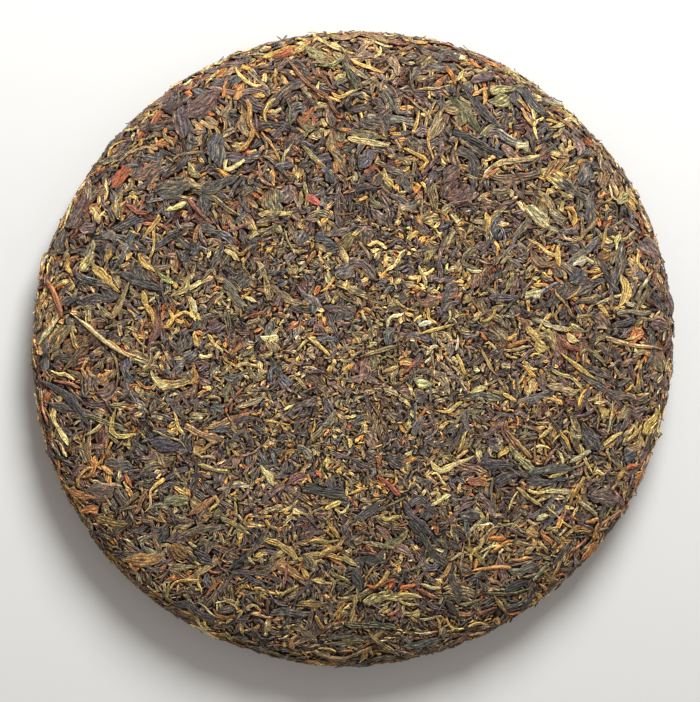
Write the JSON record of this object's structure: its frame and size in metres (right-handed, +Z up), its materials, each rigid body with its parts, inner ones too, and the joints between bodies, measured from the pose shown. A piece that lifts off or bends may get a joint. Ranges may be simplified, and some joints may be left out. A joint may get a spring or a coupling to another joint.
{
  "type": "pu erh tea cake",
  "caption": "Round pressed cake of dried tea leaf with a low domed face, a rounded rim and a dimple in the underside.",
  "frame": {"origin": "on the table under the middle of the cake", "axes": "+Z up out of the face of the cake, +Y towards the top of the picture"},
  "size_m": [0.1952, 0.1928, 0.0239],
  "materials": {
    "pressed_leaf": "matt, mottled dried leaf"
  },
  "bodies": {
    "root": {"tea_cake": "pressed_leaf"}
  },
  "joints": []
}
